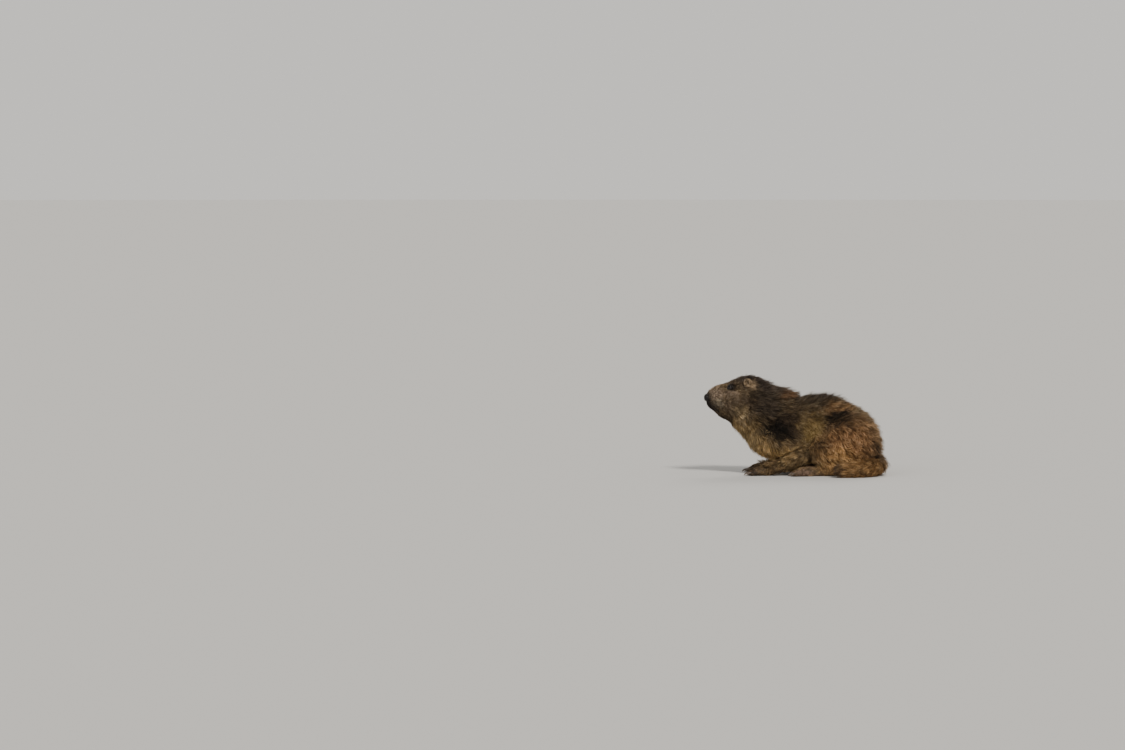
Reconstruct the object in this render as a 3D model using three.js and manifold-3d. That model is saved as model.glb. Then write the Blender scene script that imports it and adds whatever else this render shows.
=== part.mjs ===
// A life-size alpine marmot, crouching on its haunches with its chest low and its head raised.
// Lengths are in millimetres. The animal faces -X, its left side is -Y, and it rests on the floor, Z = 0.
// A field of blended ellipsoids gives the outline of the coat. The surfaces are found by rays that run
// out from a path inside the body, and the long coat is laid over them as flat, tapered locks.
import * as THREE from "three";
import { mergeVertices } from "three/addons/utils/BufferGeometryUtils.js";
import Module from "manifold-3d";

const wasm = await Module();
wasm.setup();

// Driving dimensions.
const JOINT_GAP = 0.3; // clearance between neighbouring pieces
const COAT_RISE = 9; // how far the tips of the locks stand above the core of the coat
const LOCK_LENGTH = 52;
const LOCK_WIDTH = 32;
const LOCK_THICKNESS = 5;
const LOCK_ROOT = 6.2; // depth of a lock's root inside the core
const ROW_SPACING = 33; // between rows of locks along the body
const LOCK_SPACING = 33; // between neighbours in one row
const RUMP_TILTS = [16, 33, 50, 68]; // degrees to which the rows round the rump fan out
const EYE_RADIUS = 6;
const EYE_SHOWS = 2.2; // how far the eye stands out between its lids
const EYE_PLACE = [-136, 183]; // X and Z of the middle of the eye
const EAR_PLACE = [-99, 190]; // X and Z of the root of the ear
const FORE_CLAW = 12;
const HIND_CLAW = 9;
const SIDES = { left: -1, right: 1 };

// The masses of the body, each an ellipsoid. Those with a Y place are one on each side.
const headMasses = {
  muzzle: { at: [-166, 0, 158], radii: [22.5, 18, 16.5] },
  whiskerPad: { at: [-167, 9, 150], radii: [17, 12.5, 13], pitch: 20 },
  chin: { at: [-164, 0, 144], radii: [15, 12, 11], pitch: -30 },
  noseBridge: { at: [-154, 0, 172], radii: [31, 17, 17], pitch: 15 },
  skull: { at: [-112, 0, 170.5], radii: [42, 29, 31.5], pitch: 9 },
  brow: { at: [-131, 15, 181], radii: [20, 11, 10], pitch: 17 },
  cheek: { at: [-126, 19, 152], radii: [32, 20, 26], pitch: 10 },
  jaw: { at: [-142, 0, 139], radii: [29, 23, 25], pitch: -38 },
};
const bodyMasses = {
  throat: { at: [-104, 0, 118], radii: [39.5, 36, 35.5], pitch: -49 },
  nape: { at: [-66.5, 0, 154.5], radii: [61.5, 43, 39.5], pitch: -42 },
  neck: { at: [-64.5, 0, 122], radii: [51.5, 49, 57.5], pitch: -35 },
  breast: { at: [-59, 0, 80.5], radii: [55.5, 50, 43], pitch: -40 },
  withers: { at: [-36, 0, 128.5], radii: [54, 50, 55.5], pitch: -14 },
  shoulder: { at: [-22, 38, 88], radii: [42, 28, 50], pitch: -15 },
  chest: { at: [-8, 0, 72], radii: [60, 54, 46], pitch: -6 },
  ribs: { at: [22, 0, 97.5], radii: [70, 61, 69] },
  loin: { at: [66, 0, 95.5], radii: [66, 66, 72.5] },
  belly: { at: [40, 0, 58], radii: [80, 60, 46], pitch: 8 },
  rump: { at: [113.5, 0, 66.5], radii: [68, 70, 82], pitch: 21 },
  haunch: { at: [108, 45, 64], radii: [69, 43, 70], pitch: -20 },
  knee: { at: [56, 56, 46], radii: [31, 25, 41], pitch: 20 },
};
const HEAD_BLEND = 9;
const BODY_BLEND = 14;

// The paths that the rays start from.
const headPath = [
  [-168, 0, 157],
  [-145, 0, 160],
  [-118, 0, 160],
  [-80, 0, 145],
];
const trunkPath = [
  [-118, 0, 156],
  [-90, 0, 136],
  [-54, 0, 112],
  [-10, 0, 100],
  [50, 0, 92],
  [112, 0, 80],
];

// The parting planes: a point in each, and the direction across it, towards the tail.
const headJoint = { at: [-110, 0, 158], across: [0.8, 0, -0.6] };
const neckJoint = { at: [-42, 0, 113], across: [0.88, 0, -0.474] };

// Maths

const vector = (a) => new THREE.Vector3(...a);
const lerp = THREE.MathUtils.lerp;
const radians = THREE.MathUtils.degToRad;
const smoothstep = THREE.MathUtils.smoothstep;

// Seeded random numbers from 0 to 1, so that the coat is the same in each build.
function randomSource(seed) {
  let state = seed;
  return () => {
    state = (state + 0x6d2b79f5) | 0;
    let t = Math.imul(state ^ (state >>> 15), 1 | state);
    t = (t + Math.imul(t ^ (t >>> 7), 61 | t)) ^ t;
    return ((t ^ (t >>> 14)) >>> 0) / 4294967296;
  };
}

// Fields: functions of a place that are below 0 inside the body and near the distance outside it.

function ellipsoidField({ at, radii, pitch = 0 }) {
  const [cx, cy, cz] = at;
  const [rx, ry, rz] = radii;
  const c = Math.cos(radians(pitch));
  const s = Math.sin(radians(pitch));
  return (x, y, z) => {
    const dx = x - cx;
    const dz = z - cz;
    const px = c * dx + s * dz;
    const py = (cy ? Math.abs(y) : y) - cy;
    const pz = -s * dx + c * dz;
    const near = Math.hypot(px / rx, py / ry, pz / rz);
    const slope = Math.hypot(px / (rx * rx), py / (ry * ry), pz / (rz * rz));
    return slope < 1e-9 ? -Math.min(rx, ry, rz) : (near * (near - 1)) / slope;
  };
}

function blended(a, b, reach) {
  const h = Math.max(reach - Math.abs(a - b), 0) / reach;
  return Math.min(a, b) - h * h * reach * 0.25;
}

const headFields = Object.values(headMasses).map(ellipsoidField);
const bodyFields = Object.values(bodyMasses).map(ellipsoidField);

// The outline of the whole coat.
function outline(x, y, z) {
  const head = headFields.map((f) => f(x, y, z)).reduce((a, b) => blended(a, b, HEAD_BLEND));
  const body = bodyFields.map((f) => f(x, y, z)).reduce((a, b) => blended(a, b, BODY_BLEND));
  return blended(head, body, BODY_BLEND);
}

// How far a place lies behind the plane where head and neck part.
function behindHead(place) {
  return place.clone().sub(vector(headJoint.at)).dot(vector(headJoint.across));
}

// How far the locks rise above the core: nothing on the head, little near the floor.
function coatRise(x, y, z) {
  const behind = behindHead(vector([x, y, z]));
  return COAT_RISE * smoothstep(behind, 0, 66) * lerp(0.35, 1, smoothstep(z, 0, 45));
}

const core = (x, y, z) => outline(x, y, z) + coatRise(x, y, z);

function outwards(field, p) {
  const e = 0.5;
  return new THREE.Vector3(
    field(p.x + e, p.y, p.z) - field(p.x - e, p.y, p.z),
    field(p.x, p.y + e, p.z) - field(p.x, p.y - e, p.z),
    field(p.x, p.y, p.z + e) - field(p.x, p.y, p.z - e),
  ).normalize();
}

// The place where a ray leaves the field.
function leave(field, from, direction) {
  const step = 2;
  const farthest = 200;
  const value = (t) =>
    field(from.x + direction.x * t, from.y + direction.y * t, from.z + direction.z * t);
  let inside = 0;
  while (inside < farthest && value(inside + step) < 0) inside += step;
  let outside = inside + step;
  for (let i = 0; i < 14; i++) {
    const middle = (inside + outside) / 2;
    if (value(middle) < 0) inside = middle;
    else outside = middle;
  }
  return from.clone().addScaledVector(direction, inside);
}

// Moves a place to where the field has a given value.
function settle(field, p, height) {
  const settled = p.clone();
  for (let i = 0; i < 4; i++) {
    const miss = height - field(settled.x, settled.y, settled.z);
    settled.addScaledVector(outwards(field, settled), miss);
  }
  return settled;
}

// Solids

function solidFrom(geometry) {
  const plain = geometry.index ? geometry.clone() : geometry;
  for (const name of Object.keys(plain.attributes)) {
    if (name !== "position") plain.deleteAttribute(name);
  }
  const merged = mergeVertices(plain, 1e-4);
  const made = new wasm.Manifold(
    new wasm.Mesh({
      numProp: 3,
      vertProperties: merged.attributes.position.array,
      triVerts: new Uint32Array(merged.index.array),
    }),
  );
  if (made.volume() > 0) return made;
  const turned = new Uint32Array(merged.index.array).reverse();
  return new wasm.Manifold(
    new wasm.Mesh({
      numProp: 3,
      vertProperties: merged.attributes.position.array,
      triVerts: turned,
    }),
  );
}

// A closed surface over rings of points, with a point that closes each end.
function skinOver(rings, first, last) {
  const sides = rings[0].length;
  const points = [first, ...rings.flat(), last];
  const faces = [];
  const at = (ring, side) => 1 + ring * sides + (side % sides);
  for (let s = 0; s < sides; s++) {
    faces.push(0, at(0, s + 1), at(0, s));
    faces.push(points.length - 1, at(rings.length - 1, s), at(rings.length - 1, s + 1));
    for (let r = 0; r + 1 < rings.length; r++) {
      faces.push(at(r, s), at(r, s + 1), at(r + 1, s));
      faces.push(at(r, s + 1), at(r + 1, s + 1), at(r + 1, s));
    }
  }
  const geometry = new THREE.BufferGeometry().setFromPoints(points);
  geometry.setIndex(faces);
  return solidFrom(geometry);
}

// A place on a curve with the directions along it, up from it and to its side.
function frameOn(curve, u) {
  const along = curve.getTangentAt(u);
  const up = new THREE.Vector3(0, 0, 1).addScaledVector(along, -along.z).normalize();
  return { from: curve.getPointAt(u), along, up, side: along.clone().cross(up) };
}

// The direction from a frame at a turn about its line, tilted on towards the way it runs.
function rayFrom({ along, up, side }, turn, tilt) {
  return new THREE.Vector3()
    .addScaledVector(up, Math.cos(turn))
    .addScaledVector(side, Math.sin(turn))
    .multiplyScalar(Math.cos(radians(tilt)))
    .addScaledVector(along, Math.sin(radians(tilt)));
}

// The surface of a field round a path. Each end is a fan of rays, or flat where fan is 0.
function loft(field, path, { sides, rings, startFan = 0, endFan = 0 }) {
  const curve = new THREE.CatmullRomCurve3(path.map(vector));
  const stations = [];
  const tilts = (fan, sign) =>
    Array.from({ length: fan }, (_, i) => (sign * 90 * (i + 1)) / (fan + 1));
  for (const tilt of tilts(startFan, -1).reverse()) stations.push({ u: 0, tilt });
  for (let r = 0; r < rings; r++) stations.push({ u: r / (rings - 1), tilt: 0 });
  for (const tilt of tilts(endFan, 1)) stations.push({ u: 1, tilt });
  const ringsOfPoints = stations.map(({ u, tilt }) => {
    const frame = frameOn(curve, u);
    return Array.from({ length: sides }, (_, s) =>
      leave(field, frame.from, rayFrom(frame, (2 * Math.PI * s) / sides, tilt)),
    );
  });
  const start = frameOn(curve, 0);
  const end = frameOn(curve, 1);
  return skinOver(
    ringsOfPoints,
    startFan ? leave(field, start.from, start.along.clone().negate()) : start.from,
    endFan ? leave(field, end.from, end.along) : end.from,
  );
}

// A solid swept through frames of a place, a half width along side and a half thickness along up.
// Its section has a corner that points up.
function sweep(frames, sides) {
  const rings = frames.slice(1, -1).map(({ at, side, up, width, thickness }) =>
    Array.from({ length: sides }, (_, s) => {
      const turn = Math.PI / 2 + (2 * Math.PI * s) / sides;
      return at
        .clone()
        .addScaledVector(side, width * Math.cos(turn))
        .addScaledVector(up, thickness * Math.sin(turn));
    }),
  );
  return skinOver(rings, frames[0].at, frames[frames.length - 1].at);
}

// A round, tapered solid through places, with a radius at each, closed by its first and last place.
// It is flatter where other half thicknesses are given.
function roundSweep(places, radii, sides, thicknesses = radii) {
  const curve = places.map(vector);
  const frames = curve.map((at, i) => {
    const along = curve[Math.min(i + 1, curve.length - 1)]
      .clone()
      .sub(curve[Math.max(i - 1, 0)])
      .normalize();
    const side = along.clone().cross(new THREE.Vector3(0, 0, 1)).normalize();
    return { at, side, up: side.clone().cross(along), width: radii[i], thickness: thicknesses[i] };
  });
  return sweep(frames, sides);
}

function ball({ at, radii, pitch = 0, yaw = 0, roll = 0 }, across = 16, down = 10, grow = 0) {
  const geometry = new THREE.SphereGeometry(1, across, down);
  geometry.rotateX(Math.PI / 2);
  geometry.scale(radii[0] + grow, radii[1] + grow, radii[2] + grow);
  geometry.rotateX(radians(roll));
  geometry.rotateY(radians(-pitch));
  geometry.rotateZ(radians(yaw));
  geometry.translate(...at);
  return solidFrom(geometry);
}

// All of space on one side of a plane, as a large block that starts at an offset from it.
function halfSpace({ at, across }, offset) {
  const size = 900;
  const geometry = new THREE.BoxGeometry(size, size, size);
  geometry.translate(size / 2 + offset, 0, 0);
  geometry.applyQuaternion(
    new THREE.Quaternion().setFromUnitVectors(
      new THREE.Vector3(1, 0, 0),
      vector(across).normalize(),
    ),
  );
  geometry.translate(...at);
  return solidFrom(geometry);
}

const joined = (solids) => wasm.Manifold.union(solids);
const aboveFloor = halfSpace({ at: [0, 0, 0], across: [0, 0, 1] }, 0);

function largest(solid) {
  const pieces = solid.decompose();
  return pieces.reduce((a, b) => (b.volume() > a.volume() ? b : a));
}

// The coat's locks

// The way the hair lies: back along the body, and steeper down towards the rump.
function lieAt(p, normal) {
  const down = radians(lerp(lerp(24, 40, smoothstep(p.x, -60, 60)), 84, smoothstep(p.x, 70, 175)));
  const lie = new THREE.Vector3(Math.cos(down), 0, -Math.sin(down));
  return lie.addScaledVector(normal, -lie.dot(normal)).normalize();
}

// One flat, tapered lock that leaves the core at its root and bends over along the lie of the coat.
function lock(field, root, lie, { length, width, rise }) {
  const profile = [
    { share: 0, height: -LOCK_ROOT, width: 0 },
    { share: 0.06, height: -LOCK_ROOT, width: 0.75 },
    { share: 0.5, height: 0.6 * rise, width: 1 },
    { share: 1, height: rise, width: 0 },
  ];
  let place = root.clone();
  let travelled = 0;
  let heading = lie.clone();
  const frames = profile.map((stage) => {
    const stepLength = (stage.share - travelled) * length;
    travelled = stage.share;
    place = settle(field, place.addScaledVector(heading, stepLength), stage.height);
    const up = outwards(field, place);
    heading = heading.addScaledVector(up, -heading.dot(up)).normalize();
    return {
      at: place.clone(),
      side: heading.clone().cross(up).normalize(),
      up,
      width: (stage.width * width) / 2,
      thickness: (stage.width * LOCK_THICKNESS) / 2,
    };
  });
  return sweep(frames, 3);
}

// Rows of locks over the neck, the back, the flanks and the haunches, with a fan of rows round the rump.
function trunkLocks() {
  const random = randomSource(11);
  const vary = (amount) => 1 + amount * (2 * random() - 1);
  const curve = new THREE.CatmullRomCurve3(trunkPath.map(vector));
  const locks = [];
  const addRow = (frame, tilt, offset) => {
    const flank = leave(core, frame.from, rayFrom(frame, Math.PI / 2, 0));
    const girth = 2 * Math.PI * flank.distanceTo(frame.from) * Math.cos(radians(tilt / 2));
    const count = Math.max(6, Math.round(girth / LOCK_SPACING));
    for (let i = 0; i < count; i++) {
      const turn = (2 * Math.PI * (i + offset + 0.25 * (random() - 0.5))) / count;
      const root = leave(core, frame.from, rayFrom(frame, turn, tilt));
      const normal = outwards(core, root);
      const underneath = normal.z < -0.8 || (normal.z < -0.5 && root.z < 40) || root.z < 16;
      if (underneath || behindHead(root) < -6) continue;
      const rise = coatRise(root.x, root.y, root.z);
      locks.push(
        lock(core, root, lieAt(root, normal), {
          length: LOCK_LENGTH * lerp(0.62, 1, rise / COAT_RISE) * vary(0.14),
          width: LOCK_WIDTH * vary(0.12),
          rise: rise * vary(0.25),
        }),
      );
    }
  };
  const rows = Math.round(curve.getLength() / ROW_SPACING);
  for (let r = 1; r <= rows; r++) addRow(frameOn(curve, r / rows), 0, r % 2 ? 0.5 : 0);
  RUMP_TILTS.forEach((tilt, i) => addRow(frameOn(curve, 1), tilt, i % 2 ? 0 : 0.5));
  return locks;
}

// The limbs and the tail

// A limb's places are given for the right side; the left side mirrors them.
const sided = (side, [x, y, z]) => [x, side * y, z];

function forearm(side) {
  const places = [
    [32, 42, 46],
    [22, 44, 42],
    [-4, 49, 30],
    [-30, 49, 21],
    [-55, 47, 14],
    [-74, 46, 10],
  ];
  return roundSweep(
    places.map((p) => sided(side, p)),
    [0, 20, 20, 16, 12.5, 0],
    10,
  );
}

const forefootShape = {
  palm: { at: [-71, 46, 9], radii: [21, 13.5, 11.5] },
  toeRoot: -79,
  toeTip: -100,
  toeRadius: 5,
  spread: [-10.5, -3.6, 3.6, 10.5],
  shorter: [4, 0, 0, 4],
  fan: 1.25,
  claw: FORE_CLAW,
};
const hindfootShape = {
  palm: { at: [14, 64, 8], radii: [22, 15.5, 11] },
  toeRoot: 6,
  toeTip: -12,
  toeRadius: 4.8,
  spread: [-13, -6.5, 0, 6.5, 13],
  shorter: [8, 1.5, 0, 1.5, 6],
  fan: 1.15,
  claw: HIND_CLAW,
};

function toePlaces(shape, side, i) {
  const [, middle] = shape.palm.at;
  const root = sided(side, [shape.toeRoot, middle + shape.spread[i], 7]);
  const tip = sided(side, [
    shape.toeTip + shape.shorter[i],
    middle + shape.spread[i] * shape.fan,
    shape.toeRadius - 0.6,
  ]);
  return { root, tip };
}

function toe(shape, side, i, grow) {
  const { root, tip } = toePlaces(shape, side, i);
  const r = shape.toeRadius + grow;
  const at = (share, lift) => [
    lerp(root[0], tip[0], share),
    lerp(root[1], tip[1], share),
    lerp(root[2], tip[2], share) + lift,
  ];
  return roundSweep(
    [at(-0.4, 0), at(-0.3, 0), at(0.35, 1.5), at(0.85, 0), at(1 + grow / 20, 0)],
    [0, r * 0.85, r * 1.02, r * 0.78, 0],
    6,
  );
}

function claw(shape, side, i, grow) {
  const { root, tip } = toePlaces(shape, side, i);
  const away = (tip[1] - root[1]) / Math.abs(tip[0] - root[0]);
  const length = shape.claw;
  const place = (share, z) => [
    tip[0] + 3.2 - share * length,
    tip[1] + away * (share * length - 3.2),
    z,
  ];
  return roundSweep(
    [place(-0.06, 6.4), place(0, 6.4), place(0.5, 6), place(1, 1.1)],
    [0, 2 + grow, 1.7 + grow, 0],
    5,
  );
}

function forefoot(side, grow = 0) {
  const { at, radii } = forefootShape.palm;
  const palm = ball({ at: sided(side, at), radii }, 10, 7, grow);
  const toes = forefootShape.spread.map((_, i) => toe(forefootShape, side, i, grow));
  return joined([palm, ...toes]).intersect(aboveFloor);
}

// The long hind foot lies flat from its heel, under the haunch, to its five toes.
function hindfoot(side, grow = 0) {
  const [x, y] = hindfootShape.palm.at;
  const [, width, thickness] = hindfootShape.palm.radii;
  const places = [
    [x + 72, y - 4, 12],
    [x + 66, y - 4, 12],
    [x + 42, y - 3, 11.5],
    [x + 10, y - 1, 9.5],
    [x - 7, y, 8],
    [x - 15, y, 7],
  ];
  const grown = (sizes) => sizes.map((size) => (size ? size + grow : 0));
  const sole = roundSweep(
    places.map((p) => sided(side, p)),
    grown([0, 11, 12.5, width - 2, width, 0]),
    10,
    grown([0, 11, 12.5, thickness, 0.8 * thickness, 0]),
  );
  const toes = hindfootShape.spread.map((_, i) => toe(hindfootShape, side, i, grow));
  return joined([sole, ...toes]).intersect(aboveFloor);
}

// The tail leaves the rump low down, reaches the floor and curls round to the left side.
const tailPath = [
  [158, 0, 58],
  [171, -12, 36],
  [172, -38, 21],
  [155, -74, 17],
  [126, -98, 15.5],
  [94, -106, 14.5],
];
const TAIL_RADIUS = 17.5;
const TAIL_RISE = 6.5;
const TAIL_LOCK = { length: 50, width: 21 };
function tailRadiusAt(u) {
  return TAIL_RADIUS * lerp(0.72, 1, smoothstep(u, 0, 0.45)) * lerp(1, 0.8, smoothstep(u, 0.7, 1));
}

const tailCurve = new THREE.CatmullRomCurve3(tailPath.map(vector));

// The distance from the tail's line, less its radius there.
const tailStations = Array.from({ length: 41 }, (_, i) => ({
  u: i / 40,
  at: tailCurve.getPointAt(i / 40),
}));
function tailField(x, y, z) {
  let nearest = Infinity;
  for (const { u, at } of tailStations) {
    const away = Math.hypot(x - at.x, y - at.y, z - at.z) - tailRadiusAt(u);
    if (away < nearest) nearest = away;
  }
  return nearest;
}
const tailCore = (x, y, z) => tailField(x, y, z) + TAIL_RISE;

function tailLoft(field, sides, rings) {
  return loft(field, tailPath, { sides, rings, startFan: 1, endFan: 2 });
}

function tailLocks() {
  const random = randomSource(23);
  const vary = (amount) => 1 + amount * (2 * random() - 1);
  const locks = [];
  const rows = 6;
  const around = 5;
  for (let r = 1; r <= rows; r++) {
    const frame = frameOn(tailCurve, r / (rows + 0.8));
    for (let i = 0; i < around; i++) {
      const direction = rayFrom(frame, (2 * Math.PI * (i + (r % 2 ? 0.5 : 0))) / around, 0);
      if (direction.z < -0.7) continue;
      locks.push(
        lock(tailCore, leave(tailCore, frame.from, direction), frame.along.clone(), {
          length: TAIL_LOCK.length * vary(0.15),
          width: TAIL_LOCK.width * vary(0.12),
          rise: TAIL_RISE * vary(0.2),
        }),
      );
    }
  }
  return locks;
}

// The head's own features

function onHead(x, z, side) {
  return leave(outline, new THREE.Vector3(x, 0, z), new THREE.Vector3(0, side, 0));
}

function eyePlace(side) {
  const surface = onHead(...EYE_PLACE, side);
  const normal = outwards(outline, surface);
  return { at: surface.addScaledVector(normal, EYE_SHOWS - EYE_RADIUS), normal };
}

function eye(side, grow = 0) {
  const { at } = eyePlace(side);
  const radius = EYE_RADIUS;
  return ball({ at: at.toArray(), radii: [radius, radius, radius] }, 12, 8, grow);
}

// The two lids are one ridge round the eye, longer than it is high.
function lids(side) {
  const { at, normal } = eyePlace(side);
  const along = new THREE.Vector3(0.94, 0, 0.34);
  along.addScaledVector(normal, -along.dot(normal)).normalize();
  const up = normal.clone().cross(along).normalize();
  const ridge = 1.7;
  const geometry = new THREE.TorusGeometry(1, ridge / EYE_RADIUS, 6, 14);
  geometry.scale(1.08 * EYE_RADIUS, 0.8 * EYE_RADIUS, EYE_RADIUS);
  geometry.applyMatrix4(new THREE.Matrix4().makeBasis(along, up, normal));
  geometry.translate(...at.addScaledVector(normal, 0.52 * EYE_RADIUS));
  return solidFrom(geometry);
}

const noseShape = { at: [-183, 0, 161], radii: [10, 8.8, 8.2], pitch: 10 };
function nose() {
  const nostrils = Object.values(SIDES).map((side) =>
    ball({ at: [-190.5, side * 4.8, 160.5], radii: [6, 1.7, 2.5], yaw: side * -40 }, 8, 6),
  );
  const cleft = roundSweep(
    [[-196, 0, 150], [-192, 0, 152], [-193, 0, 156], [-192.5, 0, 160]],
    [0, 0.9, 0.8, 0],
    5,
  );
  return ball(noseShape, 14, 9).subtract(joined([...nostrils, cleft]));
}

// The line of the mouth, and the cleft from the nose down to it, are grooves in the surface.
function groove(places, radius) {
  const radii = places.map((_, i) => (i === 0 || i === places.length - 1 ? 0 : radius));
  return roundSweep(places.map((p) => p.toArray()), radii, 5);
}
function mouthLine() {
  const steps = 5;
  const places = [];
  for (let i = -steps; i <= steps; i++) {
    const share = Math.abs(i) / steps;
    const turn = radians((i / steps) * 80);
    const from = new THREE.Vector3(lerp(-172, -159, share), 0, lerp(146.5, 133, share ** 1.3));
    places.push(leave(outline, from, new THREE.Vector3(-Math.cos(turn), Math.sin(turn), 0)));
  }
  return groove(places, 1.15);
}
function lipCleft() {
  const forwards = new THREE.Vector3(-1, 0, 0);
  const places = [154, 151, 148, 144].map((z) =>
    leave(outline, new THREE.Vector3(-172, 0, z), forwards),
  );
  return groove(places, 1);
}

// An ear is a small round shell, open to the front and the side.
const EAR_YAW = -54; // degrees from facing straight ahead, turned out to the side
function earShape(side) {
  const root = onHead(...EAR_PLACE, side);
  const at = [root.x + 1, root.y + side * 1.5, root.z + 3];
  return { at, radii: [5.5, 10.5, 10.5], yaw: side * EAR_YAW, roll: -side * 20 };
}
function ear(side, grow = 0) {
  return ball(earShape(side), 12, 8, grow);
}
function earCup(side) {
  const shape = earShape(side);
  const turn = radians(shape.yaw);
  const forward = vector([-Math.cos(turn), -Math.sin(turn), 0]);
  const at = vector(shape.at).addScaledVector(forward, 4).add(vector([0, 0, 1.5]));
  return ball({ ...shape, at: at.toArray(), radii: [6, 7.8, 7.8] }, 10, 7);
}

// Putting the body together

const group = new THREE.Group();

// Adds a solid as a named mesh with its own material.
function addNode(name, solid, colour, roughness = 0.85) {
  const { vertProperties, triVerts, numProp } = largest(solid).getMesh();
  const positions = new Float32Array((vertProperties.length / numProp) * 3);
  for (let i = 0; i < positions.length / 3; i++) {
    positions.set(vertProperties.subarray(i * numProp, i * numProp + 3), i * 3);
  }
  const geometry = new THREE.BufferGeometry();
  geometry.setAttribute("position", new THREE.BufferAttribute(positions, 3));
  geometry.setIndex(new THREE.BufferAttribute(new Uint32Array(triVerts), 1));
  geometry.computeVertexNormals();
  const mesh = new THREE.Mesh(
    geometry,
    new THREE.MeshStandardMaterial({ color: colour, roughness, metalness: 0 }),
  );
  mesh.name = name;
  group.add(mesh);
}

const COLOURS = {
  darkBrown: "#43362a",
  greyBrown: "#6b5844",
  rufous: "#7d5733",
  tan: "#8d7452",
  skin: "#8f7468",
  horn: "#2b2420",
  eye: "#120d0a",
  nose: "#1d1716",
};

const feet = Object.entries(SIDES).flatMap(([name, side]) => [
  { name: `forefoot_${name}`, shape: forefootShape, side, make: forefoot },
  { name: `hindfoot_${name}`, shape: hindfootShape, side, make: hindfoot },
]);
for (const { name, shape, side, make } of feet) {
  const claws = shape.spread.map((_, i) => claw(shape, side, i, 0));
  const sockets = shape.spread.map((_, i) => claw(shape, side, i, JOINT_GAP));
  addNode(name, make(side).subtract(joined(sockets)), COLOURS.skin);
  claws.forEach((solid, i) => addNode(`${name}_claw_${i + 1}`, solid, COLOURS.horn, 0.45));
}
const feetWithGap = joined(feet.map(({ side, make }) => make(side, JOINT_GAP)));

const tailWithGap = tailLoft((x, y, z) => tailField(x, y, z) - 1, 12, 12);
const tailRoom = tailLoft((x, y, z) => tailField(x, y, z) - 1 + JOINT_GAP, 12, 12);
const tail = joined([tailLoft(tailCore, 8, 9), ...tailLocks()])
  .intersect(tailRoom)
  .intersect(aboveFloor);
addNode("tail", tail, COLOURS.darkBrown);

const trunk = loft(core, trunkPath, { sides: 24, rings: 13, endFan: 4 });
const forearms = Object.values(SIDES).map(forearm);
let body = joined([trunk, ...forearms, ...trunkLocks()])
  .intersect(aboveFloor)
  .intersect(halfSpace(headJoint, JOINT_GAP / 2))
  .subtract(feetWithGap)
  .subtract(tailWithGap);

// Parts a piece off the body along the surface of a few ellipsoids.
function partOff(shapes) {
  const piece = body.intersect(joined(shapes.map((s) => ball(s, 16, 10))));
  body = body.subtract(joined(shapes.map((s) => ball(s, 16, 10, JOINT_GAP))));
  return piece;
}

addNode("neck", body.subtract(halfSpace(neckJoint, -JOINT_GAP / 2)), COLOURS.greyBrown);
body = body.intersect(halfSpace(neckJoint, JOINT_GAP / 2));

for (const [name, side] of Object.entries(SIDES)) {
  const shoulderRegion = { at: sided(side, [-2, 82, 64]), radii: [44, 44, 58], pitch: -12 };
  const forearmRegion = { at: sided(side, [-24, 49, 20]), radii: [62, 23, 23], pitch: -12 };
  addNode(`foreleg_${name}`, partOff([shoulderRegion, forearmRegion]), COLOURS.tan);
  const haunchRegion = { at: sided(side, [112, 88, 58]), radii: [80, 62, 76], pitch: -14 };
  addNode(`haunch_${name}`, partOff([haunchRegion]), COLOURS.rufous);
}
addNode("torso", body, COLOURS.darkBrown);

const sidesOf = (make, grow) => Object.values(SIDES).map((side) => make(side, grow));
const head = joined([
  loft(outline, headPath, { sides: 28, rings: 15, startFan: 4 }),
  ...sidesOf(lids),
])
  .subtract(joined([...sidesOf(eye, JOINT_GAP), ...sidesOf(ear, JOINT_GAP)]))
  .subtract(joined([ball(noseShape, 14, 9, JOINT_GAP), mouthLine(), lipCleft()]))
  .subtract(halfSpace(headJoint, -JOINT_GAP / 2));
addNode("head", head, COLOURS.greyBrown);
addNode("nose", nose(), COLOURS.nose, 0.5);
for (const [name, side] of Object.entries(SIDES)) {
  addNode(`eye_${name}`, eye(side), COLOURS.eye, 0.1);
  addNode(`ear_${name}`, ear(side).subtract(earCup(side)), COLOURS.tan);
}

// The origin is on the floor, under the middle of the model's box.
const box = new THREE.Box3().setFromObject(group);
const middle = box.getCenter(new THREE.Vector3());
group.position.set(-middle.x, -middle.y, 0);

export default group;
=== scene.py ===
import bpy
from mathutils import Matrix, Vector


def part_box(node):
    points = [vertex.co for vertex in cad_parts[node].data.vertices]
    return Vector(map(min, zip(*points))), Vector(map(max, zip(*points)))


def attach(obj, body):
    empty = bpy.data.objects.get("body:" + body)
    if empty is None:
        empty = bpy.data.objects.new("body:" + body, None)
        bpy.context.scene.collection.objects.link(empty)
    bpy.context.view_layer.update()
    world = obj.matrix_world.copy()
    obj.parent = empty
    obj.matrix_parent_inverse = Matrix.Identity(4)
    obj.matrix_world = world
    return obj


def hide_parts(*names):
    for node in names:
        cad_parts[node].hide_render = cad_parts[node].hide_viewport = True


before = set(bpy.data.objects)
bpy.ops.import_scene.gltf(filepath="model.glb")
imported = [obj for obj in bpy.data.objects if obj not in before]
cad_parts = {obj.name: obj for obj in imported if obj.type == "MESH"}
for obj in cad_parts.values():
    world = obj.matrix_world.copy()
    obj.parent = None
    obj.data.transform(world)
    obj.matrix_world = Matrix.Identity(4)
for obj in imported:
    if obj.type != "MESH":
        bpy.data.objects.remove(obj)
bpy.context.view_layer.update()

import math

import bpy
import numpy as np
from mathutils import Matrix, Vector
from mathutils.kdtree import KDTree

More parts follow.
